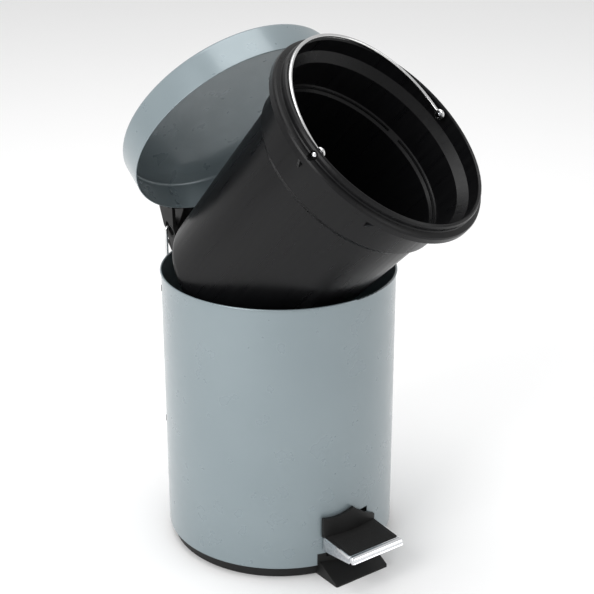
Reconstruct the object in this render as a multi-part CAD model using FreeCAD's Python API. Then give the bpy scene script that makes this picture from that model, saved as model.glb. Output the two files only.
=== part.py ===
"""Pedal trash can, five litres: painted steel shell, black base, pedal linkage, domed lid and lift-out bucket.

Millimetres. +Z is up, the pedal points to -Y, the hinge is at +Y. The origin is on the shell's axis,
at the level of the floor. The rest pose has the lid open and the bucket tilted out of the shell's mouth.
"""
import FreeCAD
import Part
import math
import os

V = FreeCAD.Vector
X, Y, Z = V(1, 0, 0), V(0, 1, 0), V(0, 0, 1)

# ---- shell and base -------------------------------------------------------------------------
shell_r = 102.5            # outside of the steel shell
sheet_t = 0.7              # painted steel sheet
shell_low = 11.3           # lower edge of the shell above the floor
shell_top = 255.4          # top of the rolled rim
rim_bead_r = 0.9           # rolled bead round the mouth
seam_w = 5.0               # folded seam down the back
seam_h = 0.5
base_inset = 4.5           # the black base stands in from the shell
base_top = 24.0            # top of the base's spigot, inside the shell
base_floor_t = 3.0
base_wall = 3.5
spigot_gap = 0.25          # between the spigot and the shell
ring_mid_r = shell_r - 18.5    # anti-slip ring, middle radius
ring_w = 7.0
ring_depth = 1.8
foot_half = 28.5           # foot plate in front of the base
foot_reach = shell_r + 19.9     # front edge of the foot plate
foot_rear_h = 13.5
foot_front_h = 1.8
foot_corner_r = 1.6
front_gate = 18.0          # the lever dips into the base's wall as far as this
notch_half = 31.0          # notch in the shell above the foot plate
notch_top = 22.5

# ---- pedal ----------------------------------------------------------------------------------
pivot_y = -10.0            # pedal pivot
pivot_z = 20.0
pin_r = 2.5
running_gap = 0.08         # radial clearance of a pin in its hole
lever_t = 1.5
lever_half = 17.0          # half width of the lever inside the shell
lever_depth = 10.0         # depth of the lever's flanges
slot_gap = 5.0             # shell slot beyond the lever, each side
slot_top = 54.0
rear_slot_top = 44.0
tread_half = 27.9
tread_rear_y = -shell_r - 2.1
tread_front_y = tread_rear_y - 34.0
tread_rear_z = 41.3
tread_front_z = 39.0
grip_t = 1.6
tread_t = 1.4
lip_r = 3.3                # rolled chrome lip in front of the tread
flange_low_rear = 26.5
flange_low_front = 30.5
guard_gap = 1.4            # between the guard and the shell
guard_t = 3.2
guard_half = 28.2
guard_left_z = 59.2        # top edge: left corner, peak and right end
guard_peak_x = 2.0
guard_peak_z = 62.6
guard_right_z = 45.5
guard_left_sag = 2.3       # how far each half of the top edge sags below its chord
guard_right_sag = 1.4
bush_wall = 1.6
bracket_t = 2.0

# ---- hinge and push rod ---------------------------------------------------------------------
hinge_y = shell_r + 28.9   # hinge pin's axis
hinge_z = shell_top + 5.2
hinge_pin_r = 2.0
lid_open = 53.7            # degrees, rest pose
lid_open_max = 90.0
rod_r = 1.5
rod_x = 44.0               # the rod's two legs
rod_y = shell_r + 11.4
rod_top_z = shell_top + 12.0    # centre of the rod's bent top ends, rest pose
rod_bend = 2.6             # bend radius of the wire
rod_lift = 9.0             # rod travel from rest to the lid's open stop
sleeve_r = 4.0
sleeve_half = 9.0
lift_gap = 0.4             # between the sleeve and the lever's rear end
housing_half = 30.0
housing_cheek = 5.0
housing_low = shell_top - 37.4
housing_top = shell_top - 7.4
housing_depth = 9.0
knuckle_gap = 0.5          # side gap between knuckles
guide_heights = (74.0, housing_low - 10.0)
guide_rivet_turn = 8.0     # degrees from the back
saddle_t = 3.0
screw_turn = 10.5
screw_seat = 4.0           # depth of plastic under a screw's head
screw_head_r = 3.4
lid_rivet_turn = 16.8

# ---- lid ------------------------------------------------------------------------------------
lid_r = shell_r + 1.4
lid_t = 0.8
lid_low = shell_top + 1.5  # rim of the closed lid
lid_skirt = 28.4
lid_dome = 12.0
lid_corner_r = 3.5
hem_r = 0.6                # rolled hem round the lid's rim
plate_gap = 0.3            # between the bracket's plate and the lid's skirt
plate_t = 3.0
plate_half = 43.0
cheek_x = 38.0             # inner face of the bracket's outer cheeks
cheek_t = 3.4
slot_half = 2.7
rivet_r = 1.6

# ---- bucket ---------------------------------------------------------------------------------
bucket_h = 216.9
bucket_wall = 2.0
bucket_floor = 2.4
collar_r = shell_r + 0.1   # the collar hangs on the shell's rim
bottom_r = collar_r - 28.6 # outside, above the rounded bottom edge
bottom_round = 9.0
step_r = collar_r - 18.4   # outside, under the step
step_low = bucket_h - 52.9
step_high = step_low + 5.0
upper_low_r = collar_r - 14.6   # outside, above the step
upper_r = collar_r - 12.8  # outside, under the collar
collar_h = 14.4
lip_out_r = collar_r - 5.2
mouth_r = collar_r - 8.8
band_h = 6.9               # height of the collar's wide band
groove_h = 4.6             # hollow under the collar
flare_low = bucket_h - 22.9     # the wall flares out to the collar above this height
rib_count = 8
rib_first = 172.0          # direction of the first rib, degrees
rib_half = 1.1
rib_h = 15.0
bail_r = 1.5
bail_axis_drop = 5.0       # bail axis below the bucket's rim
bail_half = mouth_r - 4.6  # eyes of the bail from the middle
bail_reach = mouth_r + 1.1
bail_turn = -4.3           # direction of the bail's pivots about the bucket's axis, degrees
bail_tilt = 5.3            # the bail's plane over the rim, degrees
rivet_pin_r = 1.5
rivet_head_r = 2.4
rivet_seat = 1.6           # depth of the round seat sunk in the rim for a rivet's head
rivet_seat_r = 3.7
tilt = 41.2                # rest pose of the bucket, degrees
lean = 21.1                # turn of the tilt's direction from -Y towards +X
rest_x, rest_y, rest_z = -21.6, 27.2, shell_top - 22.0    # middle of the bucket's bottom

# ---- worked out -----------------------------------------------------------------------------
shell_in = shell_r - sheet_t
base_r = shell_r - base_inset
spigot_r = shell_in - spigot_gap
base_in = base_r - base_wall
lever_hole_half = lever_half + slot_gap
lever_rear_z = pivot_z + 7.0
collar_low = bucket_h - collar_h
guard_out = shell_r + guard_gap + guard_t
throat_r = mouth_r + bucket_wall + 0.3


# ---- helpers --------------------------------------------------------------------------------
def lathe(points, angle=360.0):
    """Solid of revolution about Z from (radius, height) points."""
    wire = Part.makePolygon([V(r, 0, z) for r, z in points] + [V(points[0][0], 0, points[0][1])])
    return Part.Face(wire).revolve(V(0, 0, 0), Z, angle)


def cylinder(radius, height, at, along=Z):
    return Part.makeCylinder(radius, height, at, along)


def block(x0, x1, y0, y1, z0, z1):
    return Part.makeBox(x1 - x0, y1 - y0, z1 - z0, V(x0, y0, z0))


def side_plate(outline, x0, x1):
    """Plate between two X planes with a (y, z) outline."""
    wire = Part.makePolygon([V(x0, y, z) for y, z in outline + outline[:1]])
    return Part.Face(wire).extrude(V(x1 - x0, 0, 0))


def mirror_x(shape):
    return shape.mirror(V(0, 0, 0), X)


def both_sides(shape):
    return shape.fuse(mirror_x(shape))


def group(shapes):
    return Part.makeCompound(shapes)


def ring(r_in, r_out, z0, z1):
    return lathe([(r_in, z0), (r_out, z0), (r_out, z1), (r_in, z1)])


def pipe(points, radius, bend):
    """Round wire through points, with an arc of the bend radius at each inner point."""
    corners = [V(*p) for p in points]
    edges, start = [], corners[0]
    for before, corner, after in zip(corners, corners[1:], corners[2:]):
        a, b = (before - corner).normalize(), (after - corner).normalize()
        half = math.acos(max(-1.0, min(1.0, a.dot(b)))) / 2
        cut = bend / math.tan(half)
        into, out = corner + a * cut, corner + b * cut
        middle = (a + b).normalize()
        top = corner + middle * (bend / math.sin(half) - bend)
        edges.append(Part.makeLine(start, into))
        edges.append(Part.Arc(into, top, out).toShape())
        start = out
    edges.append(Part.makeLine(start, corners[-1]))
    path = Part.Wire(edges)
    first = (corners[1] - corners[0]).normalize()
    profile = Part.Wire([Part.makeCircle(radius, corners[0], first)])
    return path.makePipeShell([profile], True, False)


def radial(r0, r1, turn, z, radius):
    """Round pin along a radius of the shell, between two radii, turned from +Y."""
    pin = Part.makeCylinder(radius, r1 - r0, V(0, r0, z), Y)
    pin.rotate(V(0, 0, 0), Z, turn)
    return pin


def drilled(shape, places, radius):
    for turn, z in places:
        shape = shape.cut(radial(60, 200, turn, z, radius))
    return shape


def rivet(r0, r1, turn, z, head_r):
    """Rivet through the sheets between two radii: a flat head inside, a domed one outside."""
    stem = radial(r0 - 0.5, r1 + 0.5, turn, z, rivet_r)
    inner = radial(r0 - 0.6, r0 - 0.1, turn, z, head_r)
    dome = Part.makeSphere(2 * head_r, V(0, r1 + 0.1 + 1.4 - 2 * head_r, z))
    dome = dome.common(Part.makeCylinder(head_r, 4, V(0, r1 + 0.1, z), Y))
    dome.rotate(V(0, 0, 0), Z, turn)
    return stem.fuse([inner, dome]).removeSplitter()


def save(node, shape):
    shape.exportStep("parts/" + node + ".step")


# ---- shell ----------------------------------------------------------------------------------
def make_shell():
    wall = ring(shell_in, shell_r, shell_low, shell_top - rim_bead_r)
    bead = Part.makeTorus(shell_r - sheet_t / 2 + rim_bead_r / 2, rim_bead_r, V(0, 0, shell_top - rim_bead_r))
    seam = block(-seam_w / 2, seam_w / 2, shell_r - 1.0, shell_r + seam_h, shell_low, housing_low - 2)
    outside = ring(shell_r - 0.1, shell_r + seam_h, shell_low, housing_low - 2)
    shell = wall.fuse(bead).fuse(seam.common(outside))
    shell = shell.cut(block(-notch_half, notch_half, -shell_r - 5, -60, 0, notch_top))
    slot = block(-lever_hole_half, lever_hole_half, -shell_r - 5, -60, 0, slot_top)
    rear = block(-lever_hole_half, lever_hole_half, 60, shell_r + 5, 0, rear_slot_top)
    shell = shell.cut(slot).cut(rear)
    return drilled(shell, housing_screw_places() + guide_rivet_places(), rivet_r + running_gap)


# ---- base -----------------------------------------------------------------------------------
def make_base():
    floor = lathe([(0, 0), (base_r - 1.2, 0), (base_r, 1.2), (base_r, shell_low - 3.2),
                   (spigot_r, shell_low), (spigot_r, base_top), (base_in, base_top),
                   (base_in, base_floor_t), (0, base_floor_t)])
    base = floor.fuse(make_foot_plate())
    base = base.cut(ring(ring_mid_r - ring_w / 2, ring_mid_r + ring_w / 2, -1, ring_depth))
    base = base.cut(block(-lever_hole_half, lever_hole_half, 80, shell_r + 5, rear_gate(), 60))
    base = base.cut(block(-lever_hole_half, lever_hole_half, -shell_r, -80, front_gate, 60))
    for x, y in bracket_rivet_places():
        base = base.cut(cylinder(rivet_r + running_gap, 20, V(x, y, -5)))
        base = base.cut(cylinder(2 * rivet_r + 0.6, 1.4, V(x, y, -0.1)))
    return base.removeSplitter()


def rear_gate():
    """Lower edge of the opening in the base's rear wall that the lever leaves through."""
    return base_floor_t + 5.0


def make_foot_plate():
    rear = base_r - 12
    outline = [(-rear, 0), (-foot_reach, 0), (-foot_reach, foot_front_h),
               (-base_r - 1.0, foot_rear_h), (-rear, foot_rear_h)]
    plate = side_plate(outline, -foot_half, foot_half)
    corners = [e for e in plate.Edges if abs(e.CenterOfMass.y + foot_reach) < 0.01
               and abs(abs(e.CenterOfMass.x) - foot_half) < 0.01]
    plate = plate.makeFillet(foot_corner_r, corners)
    inner = cylinder(base_in + base_wall / 2, 60, V(0, 0, base_floor_t / 2))
    return plate.cut(inner)


def make_grip_ring():
    side = 0.05
    return ring(ring_mid_r - ring_w / 2 + side, ring_mid_r + ring_w / 2 - side, 0, ring_depth - side)


# ---- pedal pivot ----------------------------------------------------------------------------
def bracket_inner():
    return lever_half + 1.5


def bracket_rivet_places():
    x = bracket_inner() + bracket_t + 6.5
    return [(sx * x, pivot_y + sy * 8) for sx in (-1, 1) for sy in (-1, 1)]


def make_pivot_bracket():
    inner, floor = bracket_inner(), base_floor_t + 0.05
    ear = side_plate([(pivot_y - 14, floor), (pivot_y + 14, floor), (pivot_y + 6, pivot_z + 6),
                      (pivot_y - 6, pivot_z + 6)], inner, inner + bracket_t)
    foot = block(inner, inner + bracket_t + 12, pivot_y - 14, pivot_y + 14, floor, floor + bracket_t)
    side = ear.fuse(foot)
    strap = block(-inner, inner, pivot_y - 14, pivot_y + 14, floor, floor + bracket_t)
    bracket = both_sides(side).fuse(strap)
    bracket = bracket.cut(cylinder(pin_r + running_gap, 80, V(-40, pivot_y, pivot_z), X))
    for x, y in bracket_rivet_places():
        bracket = bracket.cut(cylinder(rivet_r + running_gap, 20, V(x, y, 0)))
    return bracket.removeSplitter()


def make_bracket_rivets():
    top = base_floor_t + 0.1 + bracket_t
    rivets = []
    for x, y in bracket_rivet_places():
        stem = cylinder(rivet_r, top - 0.6, V(x, y, 0.6))
        low = cylinder(2 * rivet_r, 0.6, V(x, y, 0.5))
        head = Part.makeSphere(2 * rivet_r, V(x, y, top), Z, 0, 90, 360)
        head = head.common(cylinder(2 * rivet_r, 1.3, V(x, y, top)))
        rivets.append(stem.fuse([low, head]).removeSplitter())
    return group(rivets)


def make_pedal_pin():
    half = bracket_inner() + bracket_t + 4
    pin = cylinder(pin_r, 2 * half, V(-half, pivot_y, pivot_z), X)
    pin = pin.makeChamfer(0.5, [e for e in pin.Edges if e.Length < 2 * math.pi * pin_r + 0.1 and
                                abs(abs(e.CenterOfMass.x) - half) < 0.01])
    for side in (-1, 1):
        at = V(side * (half - 2) - 0.5, pivot_y, pivot_z)
        pin = pin.cut(cylinder(pin_r + 1, 1.0, at, X).cut(cylinder(pin_r - 0.6, 1.0, at, X)))
    return pin


def make_pin_clips():
    half = bracket_inner() + bracket_t + 4
    clips = []
    for side in (-1, 1):
        at = V(side * (half - 2) - 0.4, pivot_y, pivot_z)
        clip = cylinder(pin_r + 2.2, 0.8, at, X).cut(cylinder(pin_r - 0.5, 0.8, at, X))
        mouth = block(at.x - 1, at.x + 2, pivot_y - 1.6, pivot_y + 1.6, pivot_z, pivot_z + 8)
        clips.append(clip.cut(mouth))
    return group(clips)


# ---- pedal ----------------------------------------------------------------------------------
def tread_slope():
    return (tread_rear_z - tread_front_z) / (tread_rear_y - tread_front_y)


def tread_z(y):
    return tread_front_z + (y - tread_front_y) * tread_slope()


def lever_outline(offset):
    """Side view of the lever's top face, moved down by an offset, from the front to the rear."""
    rear_y = rod_y + 4.0
    under = grip_t + tread_t + 0.1
    return [(tread_front_y + 2.4, tread_z(tread_front_y + 2.4) - under - offset),
            (tread_rear_y + 4, tread_z(tread_rear_y) - under - offset),
            (-78, lever_rear_z + 4 - offset), (pivot_y - 14, lever_rear_z - 1 - offset),
            (pivot_y + 14, lever_rear_z - 1 - offset),
            (rod_y - 14, lever_rear_z - offset), (rear_y, lever_rear_z - offset)]


def make_lever():
    top, low = lever_outline(0), lever_outline(lever_t)
    web = side_plate(top + low[::-1], -lever_half, lever_half)
    deep = lever_outline(lever_depth)
    rear = lever_outline(5.0)
    flange_low = deep[:5] + rear[5:]
    flange = side_plate(top[1:] + flange_low[1:][::-1], lever_half - lever_t, lever_half)
    front = side_plate([top[0], top[1], (tread_rear_y + 4, flange_low_rear), (tread_rear_y - 2, flange_low_rear),
                        (tread_front_y + 2.4, flange_low_front)], tread_half - 1.2 - lever_t, tread_half - 1.2)
    wide = side_plate([top[0], top[1], low[1], low[0]], -tread_half + 1.2, tread_half - 1.2)
    neck = side_plate([top[1], (tread_rear_y + 4 + lever_t, top[1][1]),
                       (tread_rear_y + 4 + lever_t, flange_low_rear), (tread_rear_y + 4, flange_low_rear)],
                      lever_half - lever_t, tread_half - 1.2)
    boss = cylinder(bush_outer() + 2.0, lever_t, V(lever_half - lever_t, pivot_y, pivot_z), X)
    lever = web.fuse([wide, both_sides(flange.fuse([front, neck, boss]))])
    clear = ring(0, shell_r + guard_gap, -1, 80)
    sides = both_sides(block(lever_half + 0.5, 60, -shell_r - 5, -60, 0, 80))
    lever = lever.cut(sides.common(clear))
    lever = lever.cut(cylinder(bush_outer() + 0.05, 80, V(-40, pivot_y, pivot_z), X))
    for x, y in tread_rivet_places():
        lever = lever.cut(cylinder(rivet_r + running_gap, 30, V(x, y, 20)))
    return lever.removeSplitter()


def bush_outer():
    return pin_r + running_gap + bush_wall


def make_bush():
    half = lever_half + 1.0
    body = cylinder(bush_outer(), 2 * half, V(-half, pivot_y, pivot_z), X)
    return body.cut(cylinder(pin_r + running_gap, 80, V(-40, pivot_y, pivot_z), X))


def tread_rivet_places():
    return [(x, (tread_rear_y + tread_front_y) / 2 + dy) for x, dy in ((-15, 8), (15, 8), (0, -7))]


def rounded_pad(half, y0, y1, drop, thick, corner):
    """Plate that follows the tread's slope, with rounded plan corners at the front."""
    outline = [(y0, tread_z(y0) - drop), (y1, tread_z(y1) - drop),
               (y1, tread_z(y1) - drop - thick), (y0, tread_z(y0) - drop - thick)]
    pad = side_plate(outline, -half, half)
    front = [e for e in pad.Edges if abs(e.CenterOfMass.y - y0) < 0.01
             and abs(abs(e.CenterOfMass.x) - half) < 0.01]
    return pad.makeFillet(corner, front)


def make_tread():
    rear = tread_rear_y + 1.0
    plate = rounded_pad(tread_half, tread_front_y, rear, grip_t + 0.05, tread_t, 3.0)
    edge = rounded_pad(tread_half, tread_front_y, rear, 0.3, grip_t + tread_t - 0.25, 3.0)
    pocket = rounded_pad(tread_half - 1.2, tread_front_y + 1.2, rear + 5, -1, grip_t + 1.05, 2.4)
    rim = edge.cut(pocket).cut(cylinder(guard_out + 0.1, 80, V(0, 0, 0)))
    lip_y, lip_z = tread_front_y - 1.6, tread_z(tread_front_y) - lip_r + 0.2
    bead = cylinder(lip_r, 2 * tread_half, V(-tread_half, lip_y, lip_z), X)
    ends = [e for e in bead.Edges if abs(abs(e.CenterOfMass.x) - tread_half) < 0.01]
    bead = bead.makeFillet(1.6, ends)
    skirt = side_plate([(lip_y - 1.2, lip_z), (lip_y + 2.8, lip_z), (lip_y - 0.6, flange_low_front + 1.6),
                        (lip_y - 3.6, flange_low_front + 3.0)], -tread_half + 0.6, tread_half - 0.6)
    skirt = skirt.cut(block(-40, 40, tread_front_y + 1.3, 0, 0, 60))
    tread = plate.fuse([rim, bead, skirt])
    for x, y in tread_rivet_places():
        tread = tread.cut(cylinder(rivet_r + running_gap, 30, V(x, y, 25)))
    return tread.removeSplitter()


def make_grip():
    side = 0.1
    pad = rounded_pad(tread_half - 1.2 - side, tread_front_y + 1.2 + side, tread_rear_y, 0, grip_t, 2.3)
    return pad.cut(cylinder(guard_out + 0.2, 80, V(0, 0, 0)))


def sagging_edge(a, b, sag):
    """Hollow curve between two points of the guard's top edge."""
    return Part.Arc(a, V((a.x + b.x) / 2, 0, (a.z + b.z) / 2 - sag), b).toShape()


def guard_outline():
    """Front view of the guard: two hollow curves that meet at a peak."""
    low = tread_z(tread_rear_y) - grip_t - tread_t - 1.0
    left, right = V(-guard_half, 0, guard_left_z), V(guard_half, 0, guard_right_z)
    peak = V(guard_peak_x, 0, guard_peak_z)
    foot_left, foot_right = V(-guard_half, 0, low), V(guard_half, 0, low)
    return Part.Wire([sagging_edge(right, peak, guard_right_sag), sagging_edge(peak, left, guard_left_sag),
                      Part.makeLine(left, foot_left), Part.makeLine(foot_left, foot_right),
                      Part.makeLine(foot_right, right)])


def make_guard():
    sheet = ring(shell_r + guard_gap, guard_out, 30, 75)
    prism = Part.Face(guard_outline()).extrude(V(0, -200, 0))
    guard = sheet.common(prism)
    hollow = rounded_pad(tread_half + 1, tread_front_y, tread_rear_y + 12, grip_t - 0.2, 12, 2.0)
    return guard.cut(hollow)


def make_tread_rivets():
    rivets = []
    for x, y in tread_rivet_places():
        top = tread_z(y) - grip_t - 0.05
        low = top - tread_t - lever_t - 0.5
        stem = cylinder(rivet_r, top - low - 0.1, V(x, y, low))
        head = cylinder(2 * rivet_r, 1.0, V(x, y, low - 1.0))
        rivets.append(stem.fuse(head).removeSplitter())
    return group(rivets)


# ---- push rod -------------------------------------------------------------------------------
def rod_low_z():
    return lever_rear_z + lift_gap + sleeve_r


def make_push_rod():
    tip = cheek_x - 2.0
    points = [(-tip, rod_y, rod_top_z), (-rod_x, rod_y, rod_top_z), (-rod_x, rod_y, rod_low_z()),
              (rod_x, rod_y, rod_low_z()), (rod_x, rod_y, rod_top_z), (tip, rod_y, rod_top_z)]
    return pipe(points, rod_r, rod_bend)


def make_rod_sleeve():
    at = V(-sleeve_half, rod_y, rod_low_z())
    sleeve = cylinder(sleeve_r, 2 * sleeve_half, at, X)
    return sleeve.cut(cylinder(rod_r + 0.05, 2 * sleeve_half, at, X))


def make_rod_guide(z):
    """Saddle on the shell's back with an arm and an eye for each leg of the push rod."""
    low, high = z - 6, z + 6
    inner = shell_r + seam_h + 0.2
    saddle = ring(inner, inner + saddle_t, low, high).common(block(-rod_x, rod_x, 0, 200, low, high))
    arm = side_plate([(rod_y - 16, low), (rod_y + 4.5, low + 3), (rod_y + 4.5, high - 3), (rod_y - 16, high)],
                     rod_x - 5, rod_x + 5)
    arm = arm.cut(cylinder(inner, 300, V(0, 0, 0)))
    brace = block(rod_x - 16, rod_x - 4, inner - 7, inner + 1.0, low + 2, high - 2)
    brace = brace.cut(cylinder(inner, 300, V(0, 0, 0)))
    guide = saddle.fuse([both_sides(arm), both_sides(brace)])
    for side in (-1, 1):
        guide = guide.cut(cylinder(rod_r + 0.3, 60, V(side * rod_x, rod_y, z - 30)))
    return drilled(guide, guide_rivet_places(), rivet_r + running_gap).removeSplitter()


def guide_rivet_places():
    return [(side * guide_rivet_turn, z) for z in guide_heights for side in (-1, 1)]


def make_guide_rivets():
    out = shell_r + seam_h + 0.2 + saddle_t
    return group([rivet(shell_in, out, turn, z, 2 * rivet_r) for turn, z in guide_rivet_places()])


# ---- hinge ----------------------------------------------------------------------------------
def housing_screw_places():
    return [(side * screw_turn, z) for side in (-1, 1) for z in (housing_low + 8, housing_top - 10)]


def make_housing():
    """Black hinge housing on the shell's back, with two cheeks that carry the hinge pin."""
    inner = shell_r + 0.3
    back = ring(inner, inner + housing_depth, housing_low, housing_top)
    back = back.common(block(-housing_half, housing_half, 0, 200, 0, 400))
    cheek = side_plate([(inner - 6, housing_low), (inner + housing_depth - 1, housing_low),
                        (hinge_y + 6.2, hinge_z - 6), (hinge_y + 6.2, hinge_z), (hinge_y - 6.2, hinge_z + 2),
                        (inner + 6, housing_top + 1), (inner - 6, housing_top + 1)],
                       housing_half - housing_cheek, housing_half)
    nose = cylinder(7.0, housing_cheek, V(housing_half - housing_cheek, hinge_y, hinge_z), X)
    cheek = cheek.fuse(nose).cut(cylinder(inner, 400, V(0, 0, 0)))
    web = side_plate([(inner + 4, housing_low), (inner + housing_depth - 1, housing_low),
                      (hinge_y + 5.0, hinge_z - 14), (hinge_y + 2.0, hinge_z - 14)],
                     -housing_half, housing_half)
    housing = back.fuse([both_sides(cheek), web])
    housing = housing.cut(cylinder(hinge_pin_r + 0.05, 100, V(-50, hinge_y, hinge_z), X))
    housing = drilled(housing, housing_screw_places(), rivet_r + running_gap)
    for turn, z in housing_screw_places():
        housing = housing.cut(radial(inner + screw_seat, 200, turn, z, screw_head_r + 0.5))
    return housing.removeSplitter()


def make_screw(turn, z):
    """Cross-head screw through the housing and the shell, with its nut plate inside."""
    seat = shell_r + 0.3 + screw_seat + 0.05
    head = Part.makeCylinder(screw_head_r, 2.0, V(0, seat, z), Y)
    head = head.makeFillet(0.8, [e for e in head.Edges if e.CenterOfMass.y > seat + 1.9 and e.Length > 10])
    cross = block(-2.2, 2.2, seat + 1.1, seat + 4, z - 0.45, z + 0.45)
    cross = cross.fuse(block(-0.45, 0.45, seat + 1.1, seat + 4, z - 2.2, z + 2.2))
    stem = Part.makeCylinder(rivet_r, seat - shell_in + 2.5, V(0, shell_in - 2.0, z), Y)
    nut = Part.makeCylinder(2 * rivet_r, 1.2, V(0, shell_in - 1.3, z), Y)
    screw = head.cut(cross).fuse([stem, nut])
    screw.rotate(V(0, 0, 0), Z, turn)
    return screw


def make_housing_screws():
    return group([make_screw(turn, z) for turn, z in housing_screw_places()])


def make_hinge_pin():
    half = housing_half + 1.2
    pin = cylinder(hinge_pin_r, 2 * half, V(-half, hinge_y, hinge_z), X)
    heads = [cylinder(3.2, 1.2, V(side * (housing_half + 0.75) - 0.6, hinge_y, hinge_z), X)
             for side in (-1, 1)]
    return pin.fuse(heads).removeSplitter()


# ---- lid ------------------------------------------------------------------------------------
def opened(shape):
    """Turn a shape built with the lid closed into the rest pose."""
    shape.rotate(V(0, hinge_y, hinge_z), X, -lid_open)
    return shape


def dome_profile(r, skirt_z, crown_z, corner):
    """(radius, height) points up a skirt, round its corner and over a shallow spherical dome."""
    rise = crown_z - skirt_z
    sphere = (r * r + rise * rise) / (2 * rise)
    points = []
    for k in range(7):
        t = math.radians(90 * k / 6)
        points.append((r - corner + corner * math.cos(t), skirt_z - corner + corner * math.sin(t) * 1.06))
    for k in range(1, 13):
        radius = (r - corner) * (1 - k / 12)
        points.append((radius, crown_z - sphere + math.sqrt(sphere * sphere - radius * radius)))
    return points


def make_lid_shell():
    top = lid_low + lid_skirt + lid_dome
    outer = dome_profile(lid_r, lid_low + lid_skirt, top, lid_corner_r)
    inner = dome_profile(lid_r - lid_t, lid_low + lid_skirt - lid_t, top - lid_t, lid_corner_r - lid_t)
    lid = lathe([(lid_r - lid_t, lid_low + 0.4), (lid_r - 0.2, lid_low + 0.4)] + [(lid_r, lid_low + 0.6)]
                + outer + inner[::-1])
    hem = Part.makeTorus(lid_r + plate_gap / 2 - hem_r, hem_r, V(0, 0, lid_low + hem_r))
    lid = lid.fuse(hem)
    return opened(drilled(lid, lid_rivet_places(), rivet_r + running_gap))


def lid_rivet_places():
    return [(side * lid_rivet_turn, lid_low + up) for side in (-1, 1) for up in (7.5, 19.0)]


def make_lid_bracket():
    inner = lid_r + plate_gap
    low, high = lid_low + 2.5, lid_low + 24.0
    plate = ring(inner, inner + plate_t, low, high).common(block(-plate_half, plate_half, 0, 200, 0, 400))
    far = housing_half - housing_cheek - knuckle_gap
    barrel = cylinder(6.0, 2 * far, V(-far, hinge_y, hinge_z), X)
    tongue = side_plate([(inner - 1, hinge_z - 1.2), (hinge_y, hinge_z - 6), (hinge_y, hinge_z + 6),
                         (inner - 1, high - 4)], -far, far)
    tongue = tongue.cut(cylinder(inner, 400, V(0, 0, 0)))
    light = both_sides(side_plate([(inner + 6, hinge_z + 1.5), (hinge_y - 8, hinge_z + 1.5),
                                   (hinge_y - 8, hinge_z + 30), (inner + 6, hinge_z + 30)], 3.0, far - 3.0))
    tongue = tongue.cut(light)
    bracket = plate.fuse([barrel, tongue, both_sides(make_bracket_cheek(inner))])
    bracket = bracket.cut(cylinder(hinge_pin_r + running_gap, 100, V(-50, hinge_y, hinge_z), X))
    return opened(drilled(bracket, lid_rivet_places(), rivet_r + running_gap).removeSplitter())


def rod_end_in_lid(opening):
    """Where the rod's bent end lies from the hinge, seen from the lid at an opening in degrees."""
    lift = rod_lift * (opening - lid_open) / (lid_open_max - lid_open)
    dy, dz = rod_y - hinge_y, rod_top_z + lift - hinge_z
    c, s = math.cos(math.radians(opening)), math.sin(math.radians(opening))
    return dy * c - dz * s, dy * s + dz * c


def make_bracket_cheek(inner):
    """Outer cheek with the slot that the rod's bent end lifts in."""
    ends = [rod_end_in_lid(opening) for opening in (8.0, lid_open, lid_open_max)]
    ys = [hinge_y + y for y, z in ends]
    zs = [hinge_z + z for y, z in ends]
    mid = (max(ys) + min(ys)) / 2
    half = slot_half + (max(ys) - min(ys)) / 2 - 0.6
    low, high = min(zs), max(zs)
    outline = [(inner - 12, lid_low + 2.5), (mid - half - 3, low + 2), (mid - half + 1, low - slot_half - 2.6),
               (mid + half - 1, low - slot_half - 2.6), (mid + half + 2.6, low), (mid + half + 2.6, high + 3),
               (inner + 4, lid_low + 20), (inner - 12, lid_low + 20)]
    cheek = side_plate(outline, cheek_x, cheek_x + cheek_t)
    cheek = cheek.cut(cylinder(inner, 400, V(0, 0, 0)))
    slot = block(cheek_x - 1, cheek_x + cheek_t + 1, mid - half, mid + half, low, high)
    for z in (low, high):
        slot = slot.fuse(cylinder(half, cheek_t + 2, V(cheek_x - 1, mid, z), X))
    return cheek.cut(slot)


def make_lid_rivets():
    out = lid_r + plate_gap + plate_t
    places = lid_rivet_places()
    return opened(group([rivet(lid_r - lid_t, out, turn, z, 1.7 * rivet_r) for turn, z in places]))


# ---- bucket ---------------------------------------------------------------------------------
def tipped(shape):
    """Turn a shape built on the bucket's own upright axis into the rest pose."""
    shape.rotate(V(0, 0, 0), X, tilt)
    shape.rotate(V(0, 0, 0), Z, lean)
    shape.translate(V(rest_x, rest_y, rest_z))
    return shape


def bottom_arc(r, round_r, z0):
    """Quarter round from the flat bottom to the wall."""
    steps = 5
    return [(r - round_r + round_r * math.sin(math.radians(90 * k / steps)),
             z0 + round_r - round_r * math.cos(math.radians(90 * k / steps))) for k in range(steps + 1)]


def bucket_outer():
    band_z = collar_low + band_h
    return bottom_arc(bottom_r, bottom_round, 0) + [
        (step_r, step_low), (upper_low_r, step_high), (upper_r, flare_low), (throat_r, collar_low - 1),
        (throat_r, collar_low + groove_h), (collar_r - bucket_wall, collar_low + groove_h),
        (collar_r - bucket_wall, collar_low), (collar_r, collar_low),
        (collar_r, band_z - 2.2), (collar_r - 0.7, band_z - 0.7),
        (collar_r - 2.4, band_z), (lip_out_r + 0.2, band_z + 0.8), (lip_out_r - 0.4, band_z + 1.8),
        (lip_out_r, bucket_h - 2.6), (lip_out_r - 0.8, bucket_h - 0.8), (lip_out_r - 2.0, bucket_h)]


def bucket_inner():
    wall = bucket_wall
    down = [(mouth_r + 0.9, bucket_h), (mouth_r, bucket_h - 1.2), (mouth_r, collar_low + 0.3),
            (upper_r - wall, flare_low + 1.0), (upper_low_r - wall, step_high + 0.6),
            (step_r - wall, step_low + 0.6)]
    return down + bottom_arc(bottom_r - wall, bottom_round - wall, bucket_floor)[::-1]


def bail_z():
    return bucket_h - bail_axis_drop


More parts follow.
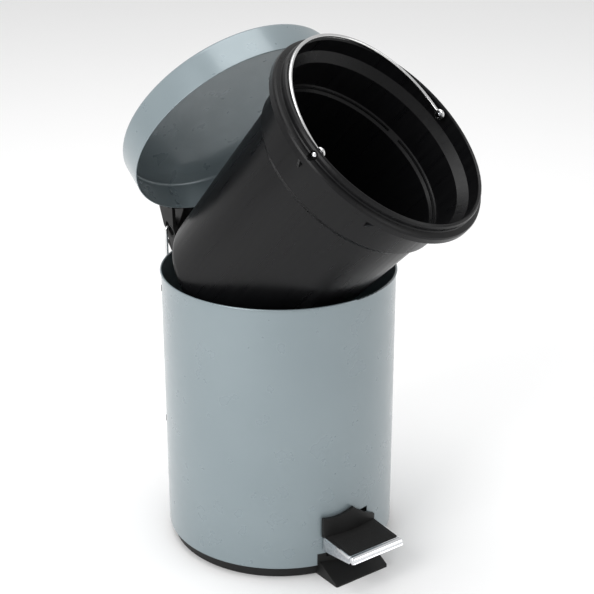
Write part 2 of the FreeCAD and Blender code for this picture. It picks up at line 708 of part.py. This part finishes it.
def turned(shape):
    """Turn a piece of the bail about the bucket's axis, to where the bail is riveted."""
    shape.rotate(V(0, 0, 0), Z, bail_turn)
    return shape


def make_bucket():
    bucket = lathe([(0, 0)] + bucket_outer() + bucket_inner() + [(0, bucket_floor)])
    rib = side_plate([(upper_r - 0.8, collar_low - rib_h), (throat_r + 3.5, collar_low - 0.5),
                      (throat_r + 3.5, collar_low + groove_h + 0.1), (throat_r - 0.8, collar_low + groove_h + 0.1),
                      (throat_r - 0.8, collar_low - 1), (upper_r - 0.8, flare_low)], -rib_half, rib_half)
    ribs = []
    for k in range(rib_count):
        one = rib.copy()
        one.rotate(V(0, 0, 0), Z, rib_first + 360.0 * k / rib_count)
        ribs.append(one)
    seat = both_sides(cylinder(rivet_seat_r, 20, V(lip_out_r - rivet_seat, 0, bail_z()), X))
    bore = cylinder(rivet_pin_r + 0.05, 300, V(-150, 0, bail_z()), X)
    return tipped(bucket.fuse(ribs).cut(turned(seat)).cut(turned(bore)))


def make_bail_rivets():
    out = lip_out_r - rivet_seat + 0.05
    pin = cylinder(rivet_pin_r, out - bail_half + 3.4, V(bail_half - 3.4, 0, bail_z()), X)
    inner = cylinder(rivet_head_r - 0.4, 1.4, V(bail_half - 1.7 - 1.4, 0, bail_z()), X)
    ball = Part.makeSphere(rivet_head_r, V(out + 0.4, 0, bail_z()))
    ball = ball.common(cylinder(rivet_head_r, 6, V(out, 0, bail_z()), X))
    rivet = pin.fuse([inner, ball]).removeSplitter()
    return tipped(turned(group([rivet, mirror_x(rivet)])))


def make_bail():
    centre = (bail_reach ** 2 - bail_half ** 2) / (2 * bail_reach)
    radius = bail_reach - centre
    start = math.asin(centre / radius)
    bow = Part.makeTorus(radius, bail_r, V(0, centre, 0), Z, 0, 360, 180 + 2 * math.degrees(start))
    bow.rotate(V(0, centre, 0), Z, -math.degrees(start))
    eye_r = rivet_pin_r + 0.1 + bail_r
    bow = bow.cut(both_sides(cylinder(eye_r, 8, V(bail_half - 4, 0, 0), X)))
    eye = Part.makeTorus(eye_r, bail_r, V(bail_half, 0, 0), X)
    bail = bow.fuse(both_sides(eye))
    bail.rotate(V(0, 0, 0), X, bail_tilt)
    bail.translate(V(0, 0, bail_z()))
    return tipped(turned(bail))


# ---- nodes ----------------------------------------------------------------------------------
os.makedirs("parts", exist_ok=True)
save("body_shell", make_shell())
save("base_pan", make_base())
save("grip_ring", make_grip_ring())
save("pivot_bracket", make_pivot_bracket())
save("bracket_rivets", make_bracket_rivets())
save("pedal_pin", make_pedal_pin())
save("pin_clips", make_pin_clips())
save("pedal_lever", make_lever())
save("lever_bush", make_bush())
save("pedal_tread", make_tread())
save("pedal_grip", make_grip())
save("pedal_guard", make_guard())
save("tread_rivets", make_tread_rivets())
save("push_rod", make_push_rod())
save("rod_sleeve", make_rod_sleeve())
save("rod_guide_lower", make_rod_guide(guide_heights[0]))
save("rod_guide_upper", make_rod_guide(guide_heights[1]))
save("guide_rivets", make_guide_rivets())
save("hinge_housing", make_housing())
save("housing_screws", make_housing_screws())
save("hinge_pin", make_hinge_pin())
save("lid_shell", make_lid_shell())
save("lid_bracket", make_lid_bracket())
save("lid_rivets", make_lid_rivets())
save("bucket", make_bucket())
save("bail_rivets", make_bail_rivets())
save("bail_handle", make_bail())
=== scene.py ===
# %% [markdown]
# # Pedal trash can: the looks
#
# The model of the can arrives from CAD as a frame: every metal and plastic part already has its true
# shape and place, in metres. Blender adds what a CAD solid cannot carry: finishes with a real surface,
# and the small soft shapes that moulding, pressing and spraying leave behind. The origin is on the floor
# in the middle of the base, the pedal points to -Y and the hinge is at +Y.

# %% Load the frame
import math

import bpy
from mathutils import Matrix, Vector


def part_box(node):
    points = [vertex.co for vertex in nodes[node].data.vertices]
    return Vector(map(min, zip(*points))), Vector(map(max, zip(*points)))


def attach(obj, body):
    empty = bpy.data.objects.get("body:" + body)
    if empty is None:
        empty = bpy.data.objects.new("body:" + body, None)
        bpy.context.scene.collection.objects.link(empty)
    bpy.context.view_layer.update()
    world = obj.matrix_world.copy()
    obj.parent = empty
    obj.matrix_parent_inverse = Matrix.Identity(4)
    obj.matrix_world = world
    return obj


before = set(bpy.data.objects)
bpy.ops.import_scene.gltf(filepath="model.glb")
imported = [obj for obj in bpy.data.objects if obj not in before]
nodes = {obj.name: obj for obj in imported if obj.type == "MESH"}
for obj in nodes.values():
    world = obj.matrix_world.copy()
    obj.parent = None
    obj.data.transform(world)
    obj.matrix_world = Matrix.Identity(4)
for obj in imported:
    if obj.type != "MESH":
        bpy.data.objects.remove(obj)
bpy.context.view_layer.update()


# %% [markdown]
# ## Helpers for finishes
#
# A finish is a small tree of nodes: coordinates, one or two noises, and a Principled shader. Writing the
# tree by hand each time hides the few numbers that matter, so one helper adds a node and sets its
# values, and one starts a material. Numbers that are the same all over are set on the shader itself.

# %% Node helpers
def node(mat, kind, **values):
    """Add a node; a value named in_Some_Input is set on the input called Some Input."""
    made = mat.node_tree.nodes.new(kind)
    for name, value in values.items():
        if name.startswith("in_"):
            made.inputs[name[3:].replace("_", " ")].default_value = value
        else:
            setattr(made, name, value)
    return made


def link(mat, a, out, b, into):
    mat.node_tree.links.new(a.outputs[out], b.inputs[into])


def new_finish(name, colour, metallic, roughness):
    """Start a material with a Principled shader and Object coordinates."""
    mat = bpy.data.materials.new(name)
    mat.use_nodes = True
    shader = mat.node_tree.nodes["Principled BSDF"]
    shader.inputs["Base Color"].default_value = (*colour, 1)
    shader.inputs["Metallic"].default_value = metallic
    shader.inputs["Roughness"].default_value = roughness
    place = mat.node_tree.nodes.new("ShaderNodeTexCoord")
    return mat, shader, place


def noise(mat, place, scale, detail=2.0, stretch=(1, 1, 1)):
    """Noise on Object coordinates, in cycles per metre, with an optional stretch per axis."""
    turn = node(mat, "ShaderNodeMapping", in_Scale=stretch)
    made = node(mat, "ShaderNodeTexNoise", in_Scale=scale, in_Detail=detail)
    link(mat, place, "Object", turn, "Vector")
    link(mat, turn, "Vector", made, "Vector")
    return made


def between(mat, source, low, high, out="Fac"):
    """Map a pattern, whose values mostly lie between 0.3 and 0.7, onto low to high."""
    made = node(mat, "ShaderNodeMapRange")
    made.inputs["From Min"].default_value = 0.3
    made.inputs["From Max"].default_value = 0.7
    made.inputs["To Min"].default_value = low
    made.inputs["To Max"].default_value = high
    link(mat, source, out, made, "Value")
    return made


def bump(mat, shader, source, height, strength):
    """Raise the surface by a noise; height is in metres."""
    made = node(mat, "ShaderNodeBump", in_Strength=strength, in_Distance=height)
    link(mat, source, "Fac", made, "Height")
    link(mat, made, "Normal", shader, "Normal")


def tint(mat, shader, source, dark, light):
    """Vary the base colour between two close tones, following what between made."""
    made = node(mat, "ShaderNodeMix", data_type="RGBA")
    made.inputs["A"].default_value = (*dark, 1)
    made.inputs["B"].default_value = (*light, 1)
    link(mat, source, "Result", made, "Factor")
    mat.node_tree.links.new(made.outputs["Result"], shader.inputs["Base Color"])


def wear(*names, finish):
    """Give the named CAD nodes a finish."""
    for name in names:
        for slot in nodes[name].material_slots:
            slot.material = finish


# %% [markdown]
# ## Painted steel
#
# The shell and the lid are steel sheet, sprayed blue-grey and stoved. Such paint is smooth to the hand
# but never flat to the eye: it has a fine orange peel a millimetre or two wide, seen only where light
# glances off it, and a clear gloss on top. The colour itself is almost even. So the base colour varies
# by a few parts in a hundred, the bump is a few microns deep, and the gloss comes from a clear coat.

# %% Paint
def painted_steel():
    mat, shader, place = new_finish("sprayed blue-grey steel", (0.21, 0.257, 0.277), 0.25, 0.3)
    drift = noise(mat, place, 14, 2)
    tint(mat, shader, between(mat, drift, 0, 1), (0.203, 0.249, 0.269), (0.218, 0.265, 0.285))
    cloud = noise(mat, place, 55, 3)
    link(mat, between(mat, cloud, 0.26, 0.34), "Result", shader, "Roughness")
    peel = noise(mat, place, 700, 1)
    bump(mat, shader, peel, height=0.000004, strength=0.1)
    shader.inputs["Coat Weight"].default_value = 0.4
    shader.inputs["Coat Roughness"].default_value = 0.12
    return mat


paint = painted_steel()
wear("body_shell", "lid_shell", "lid_rivets", finish=paint)
print("painted", paint.name)


# %% [markdown]
# ## Moulded black plastic
#
# The base, the guard behind the tread, the rod guides and the hinge parts are moulded in black plastic
# from a spark-textured tool. That texture is a fine even grain, about half a millimetre, which breaks
# up reflections. Handling polishes it a little, in soft patches.

# %% Black plastics
def moulded_black(name, tone, roughness, grain):
    mat, shader, place = new_finish(name, (tone, tone, tone * 1.04), 0.0, roughness)
    patch = noise(mat, place, 40, 3)
    link(mat, between(mat, patch, roughness - 0.06, roughness + 0.07), "Result", shader, "Roughness")
    tint(mat, shader, between(mat, patch, 0, 1), (tone * 0.85,) * 3, (tone * 1.2,) * 3)
    fine = noise(mat, place, grain, 2)
    bump(mat, shader, fine, height=0.00004, strength=0.5)
    shader.inputs["Specular IOR Level"].default_value = 0.28
    return mat


base_black = moulded_black("base plastic, spark grain", 0.008, 0.48, 1900)
hinge_black = moulded_black("hinge plastic, fine grain", 0.008, 0.42, 2400)
rubber_black = moulded_black("grip rubber", 0.009, 0.62, 1400)
wear("base_pan", "pedal_guard", finish=base_black)
wear("rod_guide_lower", "rod_guide_upper", "hinge_housing", "lid_bracket", finish=hinge_black)
wear("grip_ring", "pedal_grip", finish=rubber_black)
print("plastics ready")


# %% [markdown]
# ## Bucket plastic
#
# The lift-out bucket is black polypropylene from a polished tool. It is smoother than the base, with a
# satin shine, and it carries the marks of being taken in and out: faint upright scuffs along its wall.
# The scuffs are a noise squeezed across and stretched along the bucket's own axis, so they run with it
# although the bucket leans.

# %% Bucket finish
BUCKET_TILT = math.radians(41.2)
BUCKET_LEAN = math.radians(21.1)


def satin_bucket():
    mat, shader, place = new_finish("bucket polypropylene", (0.004, 0.004, 0.0045), 0.0, 0.3)
    turn = node(mat, "ShaderNodeMapping", vector_type="POINT")
    along = Matrix.Rotation(-BUCKET_TILT, 4, "X") @ Matrix.Rotation(-BUCKET_LEAN, 4, "Z")
    turn.inputs["Rotation"].default_value = along.to_euler()
    link(mat, place, "Object", turn, "Vector")
    squeeze = node(mat, "ShaderNodeMapping", in_Scale=(260, 260, 9))
    link(mat, turn, "Vector", squeeze, "Vector")
    scuff = node(mat, "ShaderNodeTexNoise", in_Scale=1.0, in_Detail=3.0)
    link(mat, squeeze, "Vector", scuff, "Vector")
    link(mat, between(mat, scuff, 0.26, 0.36), "Result", shader, "Roughness")
    tint(mat, shader, between(mat, scuff, 0, 1), (0.0035, 0.0035, 0.004), (0.005, 0.005, 0.0055))
    skin = noise(mat, place, 1500, 2)
    bump(mat, shader, skin, height=0.000006, strength=0.15)
    shader.inputs["Specular IOR Level"].default_value = 0.2
    return mat


bucket_black = satin_bucket()
wear("bucket", finish=bucket_black)
print("bucket", bucket_black.name)


# %% [markdown]
# ## Ledge inside the bucket
#
# Where the bucket's wall steps in, the mould leaves a narrow flat ledge that stops stacked buckets from
# jamming, with one short gap that lets air in. It could be drawn as a full revolved profile, but a
# circle is quicker: its edge is extruded inwards to make the flat, the faces over the gap are deleted,
# and Solidify and Bevel turn the flat strip into plastic. It is made upright, then tilted with the bucket.

# %% Ledge
BUCKET_BASE = Vector((-0.0216, 0.0272, 0.2334))
LEDGE_OUT_R = 0.0852       # against the bucket's wall
LEDGE_IN_SHARE = 0.978     # inner radius as a share of the outer one
LEDGE_HEIGHT = 0.1672      # above the bucket's bottom
LEDGE_THICK = 0.0014
LEDGE_EDGE = 0.0003        # width of the softened edges
LEDGE_GAP = (2, 10)        # directions of the gap's ends, degrees


def tipped_into_bucket(piece):
    """Move a piece made on the bucket's own upright axis to where the bucket rests."""
    turn = Matrix.Rotation(BUCKET_LEAN, 4, "Z") @ Matrix.Rotation(BUCKET_TILT, 4, "X")
    piece.matrix_world = Matrix.Translation(BUCKET_BASE) @ turn
    bpy.ops.object.transform_apply(location=True, rotation=True, scale=True)


def apply_all(piece):
    for mod in list(piece.modifiers):
        bpy.ops.object.modifier_apply(modifier=mod.name)


def flat_ring():
    """A circle whose edge is extruded inwards into a flat strip."""
    bpy.ops.object.select_all(action="DESELECT")
    bpy.ops.mesh.primitive_circle_add(vertices=180, radius=LEDGE_OUT_R, fill_type="NOTHING")
    ring = bpy.context.object
    bpy.ops.object.mode_set(mode="EDIT")
    bpy.ops.mesh.select_all(action="SELECT")
    bpy.ops.mesh.extrude_region_move()
    bpy.ops.transform.resize(value=(LEDGE_IN_SHARE, LEDGE_IN_SHARE, 1))
    bpy.ops.object.mode_set(mode="OBJECT")
    return ring


def open_gap(ring):
    """Delete the faces between the gap's two directions, then lift the strip to its height."""
    low, high = (math.radians(a) for a in LEDGE_GAP)
    for face in ring.data.polygons:
        face.select = low < math.atan2(face.center.y, face.center.x) < high
    bpy.ops.object.mode_set(mode="EDIT")
    bpy.ops.mesh.select_mode(type="FACE")
    bpy.ops.mesh.delete(type="FACE")
    bpy.ops.mesh.select_all(action="SELECT")
    bpy.ops.mesh.normals_make_consistent(inside=False)
    bpy.ops.transform.translate(value=(0, 0, LEDGE_HEIGHT))
    bpy.ops.object.mode_set(mode="OBJECT")


def thicken(ring):
    wall = ring.modifiers.new("wall", "SOLIDIFY")
    wall.thickness = LEDGE_THICK
    edge = ring.modifiers.new("edge", "BEVEL")
    edge.width = LEDGE_EDGE
    edge.segments = 2
    apply_all(ring)
    bpy.ops.object.shade_smooth_by_angle(angle=math.radians(40))


ledge = flat_ring()
ledge.name = "bucket_ledge"
open_gap(ledge)
thicken(ledge)
tipped_into_bucket(ledge)
ledge.data.materials.append(bucket_black)
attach(ledge, "bucket_body")
print("ledge faces", len(ledge.data.polygons))


# %% [markdown]
# ## Studs on the tread
#
# The rubber pad on the tread is covered with small square studs, about a millimetre and a half apart, so
# a wet shoe does not slip. One grid with a face for each stud is enough: insetting every face by itself
# leaves the grooves between the studs, and the inset's depth lifts each stud. The grid is laid along the
# tread, which falls a little towards its front.

# %% Studs
STUD = 0.0015              # distance between studs
STUDS_ACROSS = 32
STUDS_REAR = -0.1100       # y of the studded patch's ends
STUDS_FRONT = -0.1364
STUD_GROOVE = 0.00022      # half of the groove between two studs
STUD_HEIGHT = 0.00028
STUD_ROUND = 0.0001        # the small step that rounds a stud's top
STUD_CROWN = 0.00005
SKIN = 0.00003             # the grid lies this far above the pad
TREAD_SLOPE = math.atan2(2.3, 34.0)


def pad_top(y):
    """Height of the pad's sloping top at a place along the tread."""
    low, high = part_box("pedal_grip")
    rear = high[1] - low[1]
    return high[2] - rear * math.tan(TREAD_SLOPE) + (y - low[1]) * math.tan(TREAD_SLOPE)


def stud_grid(rows):
    """A flat grid with one raised stud on each face."""
    bpy.ops.object.select_all(action="DESELECT")
    bpy.ops.mesh.primitive_grid_add(x_subdivisions=STUDS_ACROSS, y_subdivisions=rows, size=1)
    grid = bpy.context.object
    bpy.ops.object.mode_set(mode="EDIT")
    bpy.ops.mesh.select_all(action="SELECT")
    bpy.ops.transform.resize(value=(STUDS_ACROSS * STUD, rows * STUD, 1))
    bpy.ops.mesh.inset(thickness=STUD_GROOVE, depth=STUD_HEIGHT, use_individual=True)
    bpy.ops.mesh.inset(thickness=STUD_ROUND, depth=STUD_CROWN, use_individual=True)
    bpy.ops.object.mode_set(mode="OBJECT")
    return grid


stud_rows = int((STUDS_REAR - STUDS_FRONT) / STUD)
stud_middle = (STUDS_REAR + STUDS_FRONT) / 2
studs = stud_grid(stud_rows)
studs.name = "tread_studs"
onto_pad = Matrix.Translation((0, stud_middle, pad_top(stud_middle) + SKIN))
studs.matrix_world = onto_pad @ Matrix.Rotation(TREAD_SLOPE, 4, "X")
bpy.ops.object.transform_apply(location=True, rotation=True, scale=True)
studs.data.materials.append(rubber_black)
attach(studs, "pedal")
print("studs", STUDS_ACROSS * stud_rows)


# %% [markdown]
# ## Metals
#
# Three metal finishes are here. The tread and the bail's rivets are chrome plated: almost a mirror, with
# a slight waviness left from pressing. The wires are drawn bright steel, so they carry fine lines along
# their length. The lever, its bracket and the other rivets are zinc plated: pale, a little blue, cloudy
# where the plating crystallised.

# %% Metals
def bright_chrome():
    mat, shader, place = new_finish("chrome plate", (0.78, 0.79, 0.81), 1.0, 0.08)
    smear = noise(mat, place, 90, 3)
    link(mat, between(mat, smear, 0.05, 0.14), "Result", shader, "Roughness")
    wave = noise(mat, place, 140, 1)
    bump(mat, shader, wave, height=0.00005, strength=0.25)
    return mat


def drawn_wire(name, tone, roughness):
    mat, shader, place = new_finish(name, (tone, tone, tone * 1.02), 1.0, roughness)
    lines = noise(mat, place, 2600, 2)
    link(mat, between(mat, lines, roughness - 0.07, roughness + 0.09), "Result", shader, "Roughness")
    stain = noise(mat, place, 60, 3)
    tint(mat, shader, between(mat, stain, 0, 1), (tone * 0.86,) * 3, (tone,) * 3)
    bump(mat, shader, lines, height=0.00001, strength=0.3)
    return mat


def zinc_plate():
    mat, shader, place = new_finish("zinc plate", (0.56, 0.58, 0.61), 1.0, 0.34)
    cells = node(mat, "ShaderNodeTexVoronoi", in_Scale=420.0)
    link(mat, place, "Object", cells, "Vector")
    tint(mat, shader, between(mat, cells, 0, 1, "Distance"), (0.5, 0.52, 0.55), (0.62, 0.64, 0.66))
    cloud = noise(mat, place, 120, 3)
    link(mat, between(mat, cloud, 0.27, 0.42), "Result", shader, "Roughness")
    bump(mat, shader, cloud, height=0.00002, strength=0.3)
    return mat


chrome = bright_chrome()
wire_steel = drawn_wire("drawn bright wire", 0.72, 0.2)
zinc = zinc_plate()
wear("pedal_tread", "bail_rivets", finish=chrome)
wear("push_rod", "hinge_pin", "pedal_pin", "bail_handle", finish=wire_steel)
wear("pedal_lever", "pivot_bracket", "bracket_rivets", "pin_clips", "tread_rivets", "guide_rivets",
     "housing_screws", finish=zinc)
print("metals ready")


# %% [markdown]
# ## Nylon
#
# The bush in the lever and the sleeve on the push rod are natural nylon: off-white, a little
# translucent, and dulled where they rub.

# %% Nylon
def natural_nylon():
    mat, shader, place = new_finish("natural nylon", (0.62, 0.6, 0.54), 0.0, 0.45)
    rub = noise(mat, place, 160, 3)
    link(mat, between(mat, rub, 0.38, 0.56), "Result", shader, "Roughness")
    tint(mat, shader, between(mat, rub, 0, 1), (0.56, 0.54, 0.48), (0.66, 0.64, 0.58))
    shader.inputs["Subsurface Weight"].default_value = 0.15
    shader.inputs["Subsurface Radius"].default_value = (0.002, 0.002, 0.0015)
    return mat


nylon = natural_nylon()
wear("lever_bush", "rod_sleeve", finish=nylon)
print("nylon ready")


# %% [markdown]
# ## Floor, light and camera
#
# The can stands on a plain pale floor, so wide that no edge shows near it. Two large soft lights, one at
# the left and one above, give the long clean highlights that gloss paint is photographed with, a weaker
# one fills the shaded side, and the camera looks down from the front left.

# %% Floor
def pale_floor():
    bpy.ops.mesh.primitive_plane_add(size=8, location=(0, 0, 0))
    floor = bpy.context.object
    floor.name = "floor"
    mat, shader, place = new_finish("pale floor", (0.93, 0.93, 0.93), 0.0, 0.8)
    soft = noise(mat, place, 3, 2)
    link(mat, between(mat, soft, 0.65, 0.75), "Result", shader, "Roughness")
    floor.data.materials.append(mat)
    return floor


floor = pale_floor()


# %% Light
def area_light(name, place, target, size, power, tall=None):
    data = bpy.data.lights.new(name, "AREA")
    data.shape = "RECTANGLE"
    data.size = size
    data.size_y = tall or size
    data.energy = power
    lamp = bpy.data.objects.new(name, data)
    lamp.location = place
    lamp.rotation_euler = (Vector(target) - Vector(place)).to_track_quat("-Z", "Y").to_euler()
    bpy.context.collection.objects.link(lamp)
    return lamp


middle = (0, 0, 0.2)
area_light("key", (-1.9, -0.5, 1.2), middle, 1.0, 26, 1.8)
area_light("side", (1.3, -1.6, 0.9), middle, 0.6, 5, 1.4)
area_light("top", (0.0, 0.3, 2.4), middle, 1.8, 26)
world = bpy.data.worlds.new("studio")
bpy.context.scene.world = world
world.use_nodes = True
world.node_tree.nodes["Background"].inputs["Color"].default_value = (1, 1, 1, 1)
world.node_tree.nodes["Background"].inputs["Strength"].default_value = 0.7
bpy.context.scene.view_settings.view_transform = "Standard"
print("lights ready")


# %% Camera
def set_camera(azimuth, distance, height, down, aside, lens):
    """Place the camera round the can and aim it: angles in degrees, lengths in metres."""
    data = bpy.data.cameras.new("camera")
    data.lens = lens
    data.sensor_width = 36
    cam = bpy.data.objects.new("camera", data)
    a, p, w = math.radians(azimuth), math.radians(down), math.radians(aside)
    cam.location = (distance * math.sin(a), -distance * math.cos(a), height)
    ahead = Vector((math.sin(w) * math.cos(p), math.cos(w) * math.cos(p), -math.sin(p)))
    cam.rotation_euler = (Matrix.Rotation(a, 3, "Z") @ ahead).to_track_quat("-Z", "Y").to_euler()
    bpy.context.collection.objects.link(cam)
    bpy.context.scene.camera = cam
    return cam


camera = set_camera(azimuth=-36, distance=1.185, height=0.704, down=22.0, aside=0.77, lens=87.9)
print("camera at", tuple(round(v, 3) for v in camera.location))
